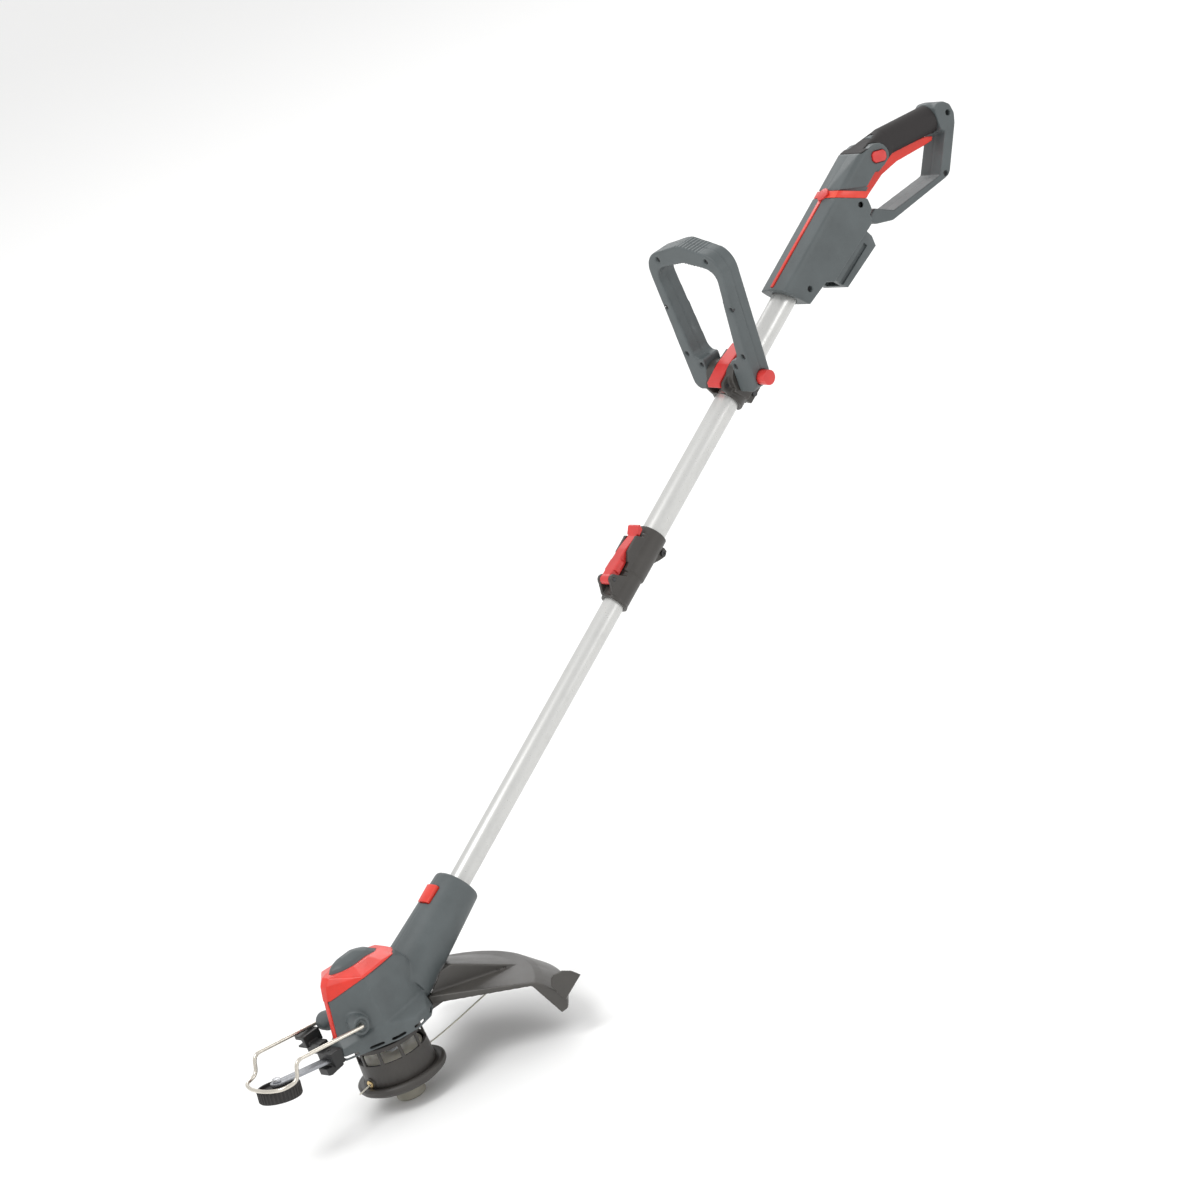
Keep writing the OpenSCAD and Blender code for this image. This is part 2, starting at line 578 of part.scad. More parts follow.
// what the trim covers, in side view
module trim_wedge() side_plate([[70, 132.9], [44, 132.9], [18, 145], [-26, 144.6], [-60, 148],
    [-60, 180], [70, 180]], 60);
module head_shells() difference() {
    union() {
        difference() {
            housing_form();
            trim_room(0);
        }
        housing_form(1.8);
        skirt_form();
        difference() {
            neck_form();
            trim_room(0);
        }
        for (s = [-1, 1]) boss_form(s);
    }
    // below the skirt's rim and inside it
    translate([0, 0, skirt_z - 30]) cylinder(r = 90, h = 30);
    translate([0, 0, skirt_z - 1]) linear_extrude(6) polygon(skirt_plan(3));
    // fan room and motor well
    translate([0, 0, skirt_z]) cylinder(r = 36, h = 15);
    translate([0, 0, skirt_z]) cylinder(r = 25, h = 72);
    // bow pivot bores, in dished bosses
    for (s = [-1, 1]) {
        translate([boss_x, s * 30, boss_z]) across() cylinder(r = bow_d / 2 + fit, h = 16,
            center = true);
        translate([boss_x, s * (boss_y + 3.6), boss_z]) across() cylinder(r = 6.4, h = 12,
            center = true);
    }
    // tube socket, latch well and lead way
    on_shaft() {
        translate([0, 0, lower_start]) cylinder(r = lower_r + fit, h = 200);
        translate([0, 0, 30]) cylinder(r = 8, h = 50);
        translate([0, -8.3, 122.7]) cube([40, 16.6, 20.6]);
    }
    cap_form(0.1);
    for (s = [-1, 1]) translate([-46, s * 17, 60]) cylinder(r = 1.8, h = 22.9);
    // vent slots round the skirt
    for (i = [0:11]) rotate([0, 0, 15 + i * 30]) translate([38, -8, skirt_z + 2]) cube([24, 16, 2.2]);
}
module cap_form(g = 0) hull() {
    translate([0, 0, 150.6]) linear_extrude(0.4) polygon(both([[30.5 + g, 3], [22 + g, 10.5 + g],
        [10, 14.5 + g], [0, 14 + g]]));
    translate([0, 0, 147.4]) linear_extrude(0.4) polygon(both([[0, 13 + g], [-24 - g, 11.5 + g],
        [-29.5 - g, 5]]));
    translate([0, 0, 156.6]) linear_extrude(0.4) polygon(both([[27.5, 2], [20, 8.5], [9, 11.5],
        [-12, 9.5], [-18, 4]]));
    translate([0, 0, 159.8]) linear_extrude(0.4) polygon(both([[21, 2], [14, 6], [-5, 6], [-10, 3]]));
    translate([0, 0, 161.8]) linear_extrude(0.4) polygon(both([[12, 2], [-3, 3]]));
}
// the trim wraps the cap and runs down the front ridge
module trim_room(g) {
    difference() {
        trim_wedge();
        housing_form(1.8 + g);
    }
    translate([46, -3.4 - g, 90]) cube([30, 6.8 + 2 * g, 45]);
}
module head_trim() color("#f03a26") difference() {
    intersection() {
        housing_form(-0.5);
        union() {
            trim_wedge();
            translate([46.2, -3.2, 95]) cube([30, 6.4, 42]);
        }
    }
    housing_form(1.8);
    neck_form();
    cap_form(0.2);
    translate([0, 0, 60]) cylinder(r = 46.2, h = 72.9);
}
module head_cap() color("#535a5d") difference() {
    cap_form();
    translate([0, 0, 140]) cylinder(r = 8, h = 15);
}
module head_left() color("#596265") left_half() head_shells();
module head_right() color("#525b5e") right_half() head_shells();
module latch_button() color("#f03a26") on_shaft() {
    intersection() {
        translate([19.5, -8, 123]) cube([12, 16, 20]);
        translate([0, 0, 100]) cylinder(r = neck_r2 + 3.4, h = 60);
    }
    translate([15, -3, 128]) cube([5, 6, 6]);
}
module latch_spring() color("#a9adb2") on_shaft() translate([14.2, 0, 137]) rotate([0, 90,
    0]) tube(2.4, 1.7, 5.2);
module motor_can() color("#8b8f93") difference() {
    translate([0, 0, 92]) cylinder(r = 24, h = 50);
    translate([0, 0, 94]) cylinder(r = 21, h = 46);
    translate([0, 0, 80]) cylinder(r = 6, h = 70);
}
module motor_bearing() color("#c4c7ca") for (z = [91, 139]) translate([0, 0, z]) tube(6, 2.5 + fit, 4);
module motor_rotor() color("#77604f") {
    translate([0, 0, 98]) cylinder(r = 18, h = 34);
    translate([0, 0, 58]) cylinder(r = 2.5, h = 87);
    translate([0, 0, 132]) cylinder(r = 5, h = 5);
}
module cooling_fan() color("#2b2d2f") {
    translate([0, 0, 78]) tube(32, 2.5, 1.6);
    translate([0, 0, 78]) tube(8, 2.5, 9);
    for (i = [0:8]) rotate([0, 0, i * 40]) translate([7.5, -0.75, 79]) cube([24, 1.5, 8]);
}
// line head: a crowned body, its flange cap and the spool inside them
module crown() color("#3b3836") difference() {
    union() {
        translate([0, 0, crown_z]) cylinder(r1 = crown_r, r2 = crown_r - 1.5, h = crown_top - crown_z);
        for (s = [0, 180]) rotate([0, 0, s]) translate([crown_r - 4, 0, eyelet_z]) rotate([0, 90, 0])
            cylinder(r = 6.3, h = 5);
    }
    translate([0, 0, crown_z - 1]) cylinder(r = crown_r - 3.5, h = 37.5);
    translate([0, 0, 40]) cylinder(r = 2.5, h = 40);
    translate([0, 0, 15]) cylinder(r = 60, h = crown_z - 15);
    // windows under the top plate, between thin ribs
    for (i = [0:9]) rotate([0, 0, 18 + i * 36]) translate([crown_r - 8, -9.2, 53]) cube([12, 18.4,
        12.5]);
    for (s = [0, 180]) rotate([0, 0, s]) translate([crown_r - 8, 0, eyelet_z]) rotate([0, 90, 0])
        cylinder(r = 3.6, h = 12);
}
module flange_cap() color("#353231") rotate_extrude($fn = 72) polygon([[knob_r + gap, flange_z],
    [flange_r - 8, flange_z], [flange_r - 1.5, 22.5], [flange_r, 24.5], [flange_r, 28.5],
        [flange_r - 2.5, 30.3],
    [crown_r + 1.5, 29.6], [crown_r + 1.5, crown_z], [crown_r - 3.5, crown_z],
        [crown_r - 3.5, flange_z + 3],
    [knob_r + gap, flange_z + 3]]);
module eyelets() color("#cfc79a") for (s = [0, 180]) rotate([0, 0, s]) translate([crown_r - 4.2, 0,
    eyelet_z])
    rotate([0, 90, 0]) {
        tube(3.6, 1.3, 5.4);
        translate([0, 0, 5.2]) tube(4.3, 1.3, 1.4);
    }
// the long line leaves the rear eyelet and rises a little towards its end
line_route = [[-37.5, 0, 34], [-42, 0, 34.05], [-50, 0, 34.2], [-60, 0, 34.8], [-72, 0, 35.8],
    [-84, 0, 37], [-96, 0, 38.4],
    [-108, 0, 39.8], [-120, 0, 41.2], [-132, 0, 42.4], [-140, 0, 43], [-line_reach, 0, 43.4]];
module line_tail() color("#c9c5bd") sweep(line_route, line_d / 2, 8, [0, 1, 0]);
module line_stub() color("#dedbd2") translate([37, 0, eyelet_z + 0.2]) rotate([0, 97,
    0]) cylinder(r = line_d / 2, h = 17);
module line_spool() color("#e7e4da") difference() {
    union() {
        translate([0, 0, 31]) cylinder(r = 31, h = 1.8);
        translate([0, 0, 50]) cylinder(r = 31, h = 1.8);
        translate([0, 0, 31]) cylinder(r = 12, h = 20);
    }
    translate([0, 0, 20]) cylinder(r = 5, h = 40);
}
module line_coil() color("#cfcabf") translate([0, 0, 32.8]) tube(28.5, 12, 17.2);
module bump_knob() color("#9a9888") difference() {
    union() {
        rotate_extrude() polygon([[0, 0], [knob_r - 1.5, 0], [knob_r, 1.5], [knob_r, 23], [0, 23]]);
        translate([0, 0, 23]) cylinder(r = 18, h = 8);
    }
    translate([0, 0, 12]) cylinder(r = 5, h = 30);
}
module spool_spring() color("#a9adb2") translate([0, 0, 51.9]) tube(8, 6.6, 13.6);

// ---- guard ----
module guard_plan(inset = 0) linear_extrude(big, center = true)
    polygon(both([[-30, 8], [-36, 8 - inset], [-48.5 - inset, 24 - inset], [-137, 143 - inset * 2],
        [-230, 190]]));
// section of the plate and the lip, as [radius, height]
guard_top = [[40, 86], [56, 84], [guard_knee_r - 3, 71], [guard_knee_r + 5, 69.5],
    [guard_knee_r + 11, 66],
    [guard_lip_r, 46], [guard_lip_r - 4.5, 34], [guard_lip_r - 12, guard_lip_z]];
guard_under = [[guard_lip_r - 12.6, guard_lip_z + 2.4], [guard_lip_r - 7.2, 36],
    [guard_lip_r - 3.6, 45.6],
    [guard_knee_r + 8, 64.5], [guard_knee_r + 3, 67.2], [guard_knee_r - 4, 68.2], [56, 81], [40, 83]];
wedge_turn = 22;        // degrees either side of the rear
module guard_wedge(t) hull() {
    translate([-50 - t, 0, 0]) rotate([90, 0, -90]) linear_extrude(1)
        polygon([[-18 + t, 82], [-18 + t, 98 - t], [18 - t, 98 - t], [18 - t, 82]]);
    translate([-81, 0, 0]) rotate([90, 0, -90]) linear_extrude(1)
        polygon([[-31 + t, 79], [-31 + t, 102 - t], [31 - t, 102 - t], [31 - t, 79]]);
    translate([0, 0, 68.6]) linear_extrude(2.6 - t / 2)
        polygon(concat([[-100, 0]], arc(guard_knee_r - 5 - t, 180 - wedge_turn, 180 + wedge_turn, 12)));
}
module guard() color("#44413f") difference() {
    union() {
        intersection() {
            rotate_extrude($fn = 96) polygon(concat(guard_top, guard_under));
            guard_plan();
        }
        // end walls down the two straight edges
        intersection() {
            rotate_extrude($fn = 96) polygon(concat(guard_top, [[guard_knee_r + 1, 66], [52, 76],
                [40, 77]]));
            difference() {
                guard_plan();
                guard_plan(2.4);
            }
        }
        guard_wedge(0);
        // foot that screws up under the skirt
        translate([-62, -24, 71]) cube([23, 48, 12]);
        // fin on the lip's left
        rotate([0, 0, 134]) side_plate([[172, 62], [175, 70], [179, 73], [188, 74], [196, 71],
            [204, 64], [185, 48], [180, 44]], 1.6);
    }
    guard_wedge(guard_t);
    skirt_form(-0.3);
    housing_form(-0.3);
    on_shaft() translate([0, 0, -20]) cylinder(r = neck_r1 + 1.3, h = 220);
    translate([0, 0, 60]) cylinder(r = 39, h = 30);
    for (s = [-1, 1]) translate([-46, s * 17, 60]) cylinder(r = 1.8, h = 14.3);
}
module guard_screws() color("#2b2b2d") for (s = [-1, 1]) translate([-46, s * 17, 0]) {
    translate([0, 0, 68.9]) cylinder(r = 3.4, h = 2.1);
    translate([0, 0, 70.9]) cylinder(r = 1.8, h = 12);
}
module line_cutter() color("#b9bcc0") rotate([0, 0, 165]) difference() {
    union() {
        translate([guard_knee_r - 9, -12, 56]) cube([1.6, 24, 11]);
        translate([guard_knee_r - 9, -12, 65.4]) cube([9, 24, 1.6]);
    }
    for (s = [-1, 1]) translate([guard_knee_r - 4, s * 7, 60]) cylinder(r = 1.8, h = 20);
}

// ---- bow and wheel ----
low_z = 97;             // height of the bow's nose
bow_side = [[boss_x, 31.4, boss_z], [boss_x + 0.3, 34, boss_z],
    [boss_x + 1.6, bow_half - 0.5, boss_z + 0.2],
    [boss_x + 4.5, bow_half, boss_z + 0.6], [120, bow_half, 115.4], [123, bow_half, 115.2],
        [124.8, bow_half, 113.4],
    [128, bow_half - 0.3, 100.5], [129.4, bow_half - 0.6, 98], [132, bow_half - 1.2, low_z],
        [145, bow_half - 4, low_z],
    [148.6, bow_half - 5.6, low_z], [150.8, bow_half - 9, low_z], [153.6, 12, low_z]];
bow_far = [for (i = [len(bow_side) - 1:-1:0]) [bow_side[i][0], -bow_side[i][1], bow_side[i][2]]];
bow_route = concat(bow_side, [[bow_reach, 0, low_z]], bow_far);
module wire_bow() color("#c8bfb0") {
    sweep(bow_route, bow_d / 2, 12, [0, 0.01, 1]);
    for (s = [-1, 1]) translate([boss_x, s * 27.5, boss_z]) across()
        cylinder(r = bow_d / 2 + 0.02, h = 9, center = true);
}
module at_wheel() translate([wheel_x, wheel_y, wheel_z]) rotate([0, -arm_tilt, 0]) children();
module edge_wheel() color("#2e2c2b") at_wheel() difference() {
    union() {
        translate([0, 0, -wheel_w / 2]) cylinder(r = wheel_r - 0.6, h = wheel_w, $fn = 96);
        for (i = [0:35]) rotate([0, 0, i * 10]) translate([wheel_r - 1, -0.8,
            -wheel_w / 2 + 1]) cube([1, 1.6, wheel_w - 2]);
    }
    translate([0, 0, wheel_w / 2 - 3]) tube(wheel_r - 3, 6, 4);
    translate([0, 0, -wheel_w / 2 - 1]) tube(wheel_r - 3, 6, 4);
    translate([0, 0, -10]) cylinder(r = 2.5 + fit, h = 20);
}
module wheel_bolt() color("#c4c7ca") at_wheel() {
    translate([0, 0, -wheel_w / 2 - 2]) cylinder(r = 2.5, h = wheel_w + 8);
    translate([0, 0, wheel_w / 2 + 3.6]) cylinder(r = 4.6, h = 4, $fn = 6);
    translate([0, 0, -wheel_w / 2 - 2.6]) cylinder(r = 4.5, h = 2.2);
}
module wheel_arm() color("#6c7174") at_wheel() difference() {
    union() {
        translate([0, 0, wheel_w / 2 + 0.6]) cylinder(r = 7, h = 3);
        translate([-70, -7, wheel_w / 2 + 0.6]) cube([70, 14, 3]);
    }
    translate([0, 0, -20]) cylinder(r = 2.5, h = 60);
    translate([-66, 0, -20]) cylinder(r = 1.6, h = 60);
}
// bracket at the skirt's nose: it carries the wheel's arm, and the bow rests in its hook
module bow_clip() color("#2f2d2c") difference() {
    union() {
        translate([58, -12, 75]) cube([14, 24, 14.5]);
        side_plate([[60, 75], [80, 77.4], [80, 70], [76, 68.8], [60, 71]], 7.5);
        translate([56, -36, 84]) cube([11, 26, 12]);
        translate([50, -42, 92]) cube([21, 15, 12.6]);
    }
    at_wheel() translate([-71, -7.1, wheel_w / 2 + 0.5]) cube([70, 14.2, 3.2]);
    at_wheel() translate([-66, 0, -30]) cylinder(r = 1.6, h = 60);
    translate([64, -44, 94.4]) cube([10, 12, 6.4]);
    for (i = [0:4]) translate([65.5 + i * 1.5, -8, 60]) cube([0.7, 16, 10.2]);
    skirt_form(-0.05);
    boss_form(-1);
    translate([0, 0, 60]) cylinder(r = 30, h = 40);
    translate([boss_x, -bow_half, boss_z]) rotate([0, 82.4, 0]) cylinder(r = bow_d / 2 + gap, h = 60);
}

housing_left();
housing_right();
soft_grip();
spine_trim();
badge();
housing_screws();
battery_dock();
battery_terminals();
control_board();
trigger_switch();
trigger();
trigger_pin();
trigger_spring();
lock_button();
lock_spring();
upper_tube();
clamp_body();
clamp_screw();
clamp_pin();
clamp_lever();
coil_lead();
lower_tube();
guide_bush();
loop_clamp();
loop_clamp_screw();
loop_cam_pin();
loop_cam_lever();
loop_front();
loop_rear();
loop_screws();
tilt_button();
tilt_spring();
head_left();
head_right();
head_cap();
head_trim();
latch_button();
latch_spring();
motor_can();
motor_bearing();
motor_rotor();
cooling_fan();
crown();
flange_cap();
eyelets();
line_tail();
line_stub();
line_spool();
line_coil();
bump_knob();
spool_spring();
guard();
guard_screws();
line_cutter();
bow_clip();
wire_bow();
wheel_arm();
wheel_bolt();
edge_wheel();
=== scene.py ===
import bmesh
import bpy
import json
import math
from mathutils import Matrix, Vector


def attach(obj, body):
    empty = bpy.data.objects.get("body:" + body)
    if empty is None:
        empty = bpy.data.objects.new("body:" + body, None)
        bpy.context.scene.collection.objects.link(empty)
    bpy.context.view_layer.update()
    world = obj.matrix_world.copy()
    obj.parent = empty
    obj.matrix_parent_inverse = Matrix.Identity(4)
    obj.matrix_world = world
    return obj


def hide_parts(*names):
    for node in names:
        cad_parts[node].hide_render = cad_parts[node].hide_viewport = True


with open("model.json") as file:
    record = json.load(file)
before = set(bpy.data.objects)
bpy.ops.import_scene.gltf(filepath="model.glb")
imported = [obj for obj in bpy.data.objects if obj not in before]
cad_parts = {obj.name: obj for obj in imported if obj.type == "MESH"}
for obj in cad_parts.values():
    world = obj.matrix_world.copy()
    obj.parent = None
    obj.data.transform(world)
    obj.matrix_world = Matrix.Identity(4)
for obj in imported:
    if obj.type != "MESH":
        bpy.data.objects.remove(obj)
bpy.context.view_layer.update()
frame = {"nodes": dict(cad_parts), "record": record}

mm = 0.001
nodes = frame["nodes"]
bodyOf = {n: b for b, members in frame["record"]["behaviour"]["bodies"].items() for n in members}
slotOf = {s["node"]: s["material_slot"] for s in frame["record"]["subparts"]}

# the machine's own directions: up the shaft, out from the shaft's top, and its start on the spindle
shaftLean = math.radians(63)
alongShaft = Vector((-math.sin(shaftLean), 0, math.cos(shaftLean)))
outOfShaft = Vector((math.cos(shaftLean), 0, math.sin(shaftLean)))
shaftBase = Vector((0, 0, 0.082))


def onShaft(out, along, side=0.0):
    # a place given in millimetres out from the shaft's axis, along it and to the left
    return shaftBase + alongShaft * along * mm + outOfShaft * out * mm + Vector((0, side * mm, 0))


cameraSet = {
    "place": (2.7032, 4.7832, 2.1408),
    "right": (-0.7062, 0.6033, -0.3705),
    "up": (-0.4786, -0.0213, 0.8778),
    "lens": 180,
    "sensor": 36,
}


def setCamera(values):
    camData = bpy.data.cameras.new("viewCamera")
    cam = bpy.data.objects.new("viewCamera", camData)
    bpy.context.scene.collection.objects.link(cam)
    right = Vector(values["right"]).normalized()
    back = right.cross(Vector(values["up"])).normalized()
    up = back.cross(right)
    turn = Matrix((right, up, back)).transposed().to_4x4()
    cam.matrix_world = Matrix.Translation(values["place"]) @ turn
    camData.lens = values["lens"]
    camData.sensor_width = values["sensor"]
    camData.clip_end = 60
    bpy.context.scene.camera = cam


setCamera(cameraSet)
print("camera is set")

def newPiece(name, mesh):
    piece = bpy.data.objects.new(name, mesh)
    bpy.context.scene.collection.objects.link(piece)
    return piece


def tubeAlong(name, path, radius, sides=12):
    # a round wire along a list of points, with its ends closed
    mesh = bpy.data.meshes.new(name)
    bm = bmesh.new()
    rings = []
    normal = None
    for i, point in enumerate(path):
        heading = (path[min(i + 1, len(path) - 1)] - path[max(i - 1, 0)]).normalized()
        if normal is None:
            normal = heading.orthogonal().normalized()
        normal = (normal - heading * normal.dot(heading)).normalized()
        side = heading.cross(normal)
        rings.append([bm.verts.new(point + radius * (math.cos(a) * normal + math.sin(a) * side))
                      for a in (2 * math.pi * k / sides for k in range(sides))])
    for one, two in zip(rings, rings[1:]):
        for k in range(sides):
            q = (k + 1) % sides
            bm.faces.new((one[k], one[q], two[q], two[k]))
    bm.faces.new(list(reversed(rings[0])))
    bm.faces.new(rings[-1])
    bmesh.ops.recalc_face_normals(bm, faces=bm.faces)
    bm.to_mesh(mesh)
    bm.free()
    return newPiece(name, mesh)


# the long line, the one free cord
lineSet = {
    "thick": 0.0016,
    "route": [(-37.5, 34), (-42, 34.05), (-50, 34.2), (-60, 34.8), (-72, 35.8), (-84, 37), (-96, 38.4),
              (-108, 39.8), (-120, 41.2), (-132, 42.4), (-140, 43), (-146, 43.4)],
}


def layLine(values):
    route = [Vector((x, 0, z)) * mm for x, z in values["route"]]
    line = tubeAlong("cuttingLine", route, values["thick"] / 2, 16)
    for face in line.data.polygons:
        face.use_smooth = True
    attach(line, "rotor")
    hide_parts("line_tail")
    return line


cuttingLine = layLine(lineSet)
print("the cutting line is laid")

studioSet = {
    "floorColor": (0.93, 0.93, 0.925, 1),
    "worldColor": (1.0, 1.0, 1.0, 1),
    "worldStrength": 0.9,
    # name: place, aim, size, power
    "lamps": {
        "keyBox": ((1.6, 0.3, 3.4), (-0.4, 0, 0.3), 1.6, 50),
        "sideBox": ((-2.6, 3.4, 1.4), (-0.4, 0, 0.3), 1.2, 16),
        "rearBox": ((-2.4, -2.6, 2.8), (-0.4, 0, 0.3), 1.6, 28),
    },
}


def setStudio(values):
    bpy.context.scene.view_settings.view_transform = "Standard"
    world = bpy.data.worlds.new("studioWorld")
    world.use_nodes = True
    world.node_tree.nodes["Background"].inputs["Color"].default_value = values["worldColor"]
    world.node_tree.nodes["Background"].inputs["Strength"].default_value = values["worldStrength"]
    bpy.context.scene.world = world
    for name, (place, aim, size, power) in values["lamps"].items():
        lampData = bpy.data.lights.new(name, "AREA")
        lampData.energy = power
        lampData.size = size
        lamp = bpy.data.objects.new(name, lampData)
        bpy.context.scene.collection.objects.link(lamp)
        lamp.location = place
        lamp.rotation_mode = "QUATERNION"
        lamp.rotation_quaternion = (Vector(aim) - Vector(place)).to_track_quat("-Z", "Y")
    mesh = bpy.data.meshes.new("studioFloor")
    reach = 24
    corners = [(-reach, -reach, -0.0004), (reach, -reach, -0.0004), (reach, reach, -0.0004), (-reach, reach, -0.0004)]
    mesh.from_pydata(corners, [], [(0, 1, 2, 3)])
    floor = bpy.data.objects.new("studioFloor", mesh)
    bpy.context.scene.collection.objects.link(floor)
    paint = bpy.data.materials.new("palePaper")
    paint.use_nodes = True
    sheen = paint.node_tree.nodes["Principled BSDF"]
    sheen.inputs["Base Color"].default_value = values["floorColor"]
    sheen.inputs["Roughness"].default_value = 0.9
    mesh.materials.append(paint)


setStudio(studioSet)
print("floor and lights are set")


def newGroup(name, wants, gives):
    group = bpy.data.node_groups.new(name, "ShaderNodeTree")
    for label, kind, value in wants:
        socket = group.interface.new_socket(label, in_out="INPUT", socket_type=kind)
        socket.default_value = value
    for label, kind in gives:
        group.interface.new_socket(label, in_out="OUTPUT", socket_type=kind)
    return group, group.nodes.new("NodeGroupInput"), group.nodes.new("NodeGroupOutput")


def addNode(tree, kind, values=None, **settings):
    node = tree.nodes.new(kind)
    for key, value in settings.items():
        setattr(node, key, value)
    for key, value in (values or {}).items():
        node.inputs[key].default_value = value
    return node


def mixColor(tree, factor, first, second, blend="MIX"):
    mix = addNode(tree, "ShaderNodeMix", data_type="RGBA", blend_type=blend)
    tree.links.new(factor, mix.inputs[0])
    tree.links.new(first, mix.inputs[6])
    tree.links.new(second, mix.inputs[7])
    return mix.outputs[2]


def spread(tree, value, low, high, toLow=0.0, toHigh=1.0):
    stage = addNode(tree, "ShaderNodeMapRange", {"From Min": low, "From Max": high, "To Min": toLow, "To Max": toHigh})
    tree.links.new(value, stage.inputs["Value"])
    return stage.outputs["Result"]


def work(tree, operation, first, second):
    step = addNode(tree, "ShaderNodeMath", operation=operation)
    for socket, value in zip(step.inputs, (first, second)):
        if isinstance(value, (int, float)):
            socket.default_value = value
        else:
            tree.links.new(value, socket)
    return step.outputs[0]


# moulded skin: cloudy tone, spark-eroded grain and a patchy painted highlight on the convex edges
def buildMouldedSkin():
    tree, wants, gives = newGroup("mouldedSkin", [
        ("Tone", "NodeSocketColor", (0.1, 0.1, 0.1, 1)), ("HighlightTone", "NodeSocketColor", (0.3, 0.3, 0.3, 1)),
        ("HighlightShare", "NodeSocketFloat", 0.4), ("Grain", "NodeSocketFloat", 1800.0),
        ("Depth", "NodeSocketFloat", 0.1), ("Matt", "NodeSocketFloat", 0.5)],
        [("Tone", "NodeSocketColor"), ("Matt", "NodeSocketFloat"), ("Relief", "NodeSocketVector")])
    links = tree.links
    place = addNode(tree, "ShaderNodeTexCoord")
    cloud = addNode(tree, "ShaderNodeTexNoise", {"Scale": 34.0, "Detail": 4.0, "Roughness": 0.6})
    links.new(place.outputs["Object"], cloud.inputs["Vector"])
    grain = addNode(tree, "ShaderNodeTexNoise", {"Detail": 2.0, "Roughness": 0.55})
    links.new(place.outputs["Object"], grain.inputs["Vector"])
    links.new(wants.outputs["Grain"], grain.inputs["Scale"])
    shape = addNode(tree, "ShaderNodeNewGeometry")
    # painted highlight: the convex edges are lightened in patches towards the second tone, as if light caught them
    ridge = spread(tree, shape.outputs["Pointiness"], 0.515, 0.6)
    patchy = spread(tree, cloud.outputs["Fac"], 0.4, 0.62)
    edgeHighlight = work(tree, "MULTIPLY", work(tree, "MULTIPLY", ridge, patchy), wants.outputs["HighlightShare"])
    tint = addNode(tree, "ShaderNodeHueSaturation")
    links.new(wants.outputs["Tone"], tint.inputs["Color"])
    links.new(spread(tree, cloud.outputs["Fac"], 0.3, 0.7, 0.88, 1.12), tint.inputs["Value"])
    links.new(mixColor(tree, edgeHighlight, tint.outputs["Color"], wants.outputs["HighlightTone"]), gives.inputs["Tone"])
    fleck = spread(tree, grain.outputs["Fac"], 0.3, 0.7, -0.05, 0.05)
    links.new(work(tree, "ADD", work(tree, "ADD", wants.outputs["Matt"], fleck),
                   spread(tree, cloud.outputs["Fac"], 0.3, 0.7, -0.05, 0.05)), gives.inputs["Matt"])
    bump = addNode(tree, "ShaderNodeBump", {"Distance": 0.00012})
    links.new(wants.outputs["Depth"], bump.inputs["Strength"])
    links.new(grain.outputs["Fac"], bump.inputs["Height"])
    links.new(bump.outputs["Normal"], gives.inputs["Relief"])
    return tree


# drawn metal: fine streaks along one direction, and light handling marks
def buildDrawnMetal():
    tree, wants, gives = newGroup("drawnMetal", [
        ("Tone", "NodeSocketColor", (0.6, 0.6, 0.6, 1)), ("Dull", "NodeSocketColor", (0.4, 0.4, 0.4, 1)),
        ("Lean", "NodeSocketVector", (0, 0, 0)), ("Streak", "NodeSocketFloat", 0.2), ("Matt", "NodeSocketFloat", 0.3)],
        [("Tone", "NodeSocketColor"), ("Matt", "NodeSocketFloat"), ("Relief", "NodeSocketVector")])
    links = tree.links
    place = addNode(tree, "ShaderNodeTexCoord")
    turn = addNode(tree, "ShaderNodeMapping", {"Scale": (1400.0, 1400.0, 26.0)})
    links.new(place.outputs["Object"], turn.inputs["Vector"])
    links.new(wants.outputs["Lean"], turn.inputs["Rotation"])
    streak = addNode(tree, "ShaderNodeTexNoise", {"Scale": 1.0, "Detail": 3.0, "Roughness": 0.6})
    links.new(turn.outputs["Vector"], streak.inputs["Vector"])
    marks = addNode(tree, "ShaderNodeTexNoise", {"Scale": 60.0, "Detail": 5.0, "Roughness": 0.7})
    links.new(place.outputs["Object"], marks.inputs["Vector"])
    worn = spread(tree, marks.outputs["Fac"], 0.5, 0.75)
    links.new(mixColor(tree, work(tree, "MULTIPLY", worn, 0.5), wants.outputs["Tone"], wants.outputs["Dull"]),
              gives.inputs["Tone"])
    shade = work(tree, "MULTIPLY", spread(tree, streak.outputs["Fac"], 0.3, 0.7, -0.5, 0.5), wants.outputs["Streak"])
    links.new(work(tree, "ADD", work(tree, "ADD", wants.outputs["Matt"], shade),
                   work(tree, "MULTIPLY", worn, 0.1)), gives.inputs["Matt"])
    bump = addNode(tree, "ShaderNodeBump", {"Distance": 0.00003})
    links.new(wants.outputs["Streak"], bump.inputs["Strength"])
    links.new(streak.outputs["Fac"], bump.inputs["Height"])
    links.new(bump.outputs["Normal"], gives.inputs["Relief"])
    return tree


mouldedSkin = buildMouldedSkin()
drawnMetal = buildDrawnMetal()

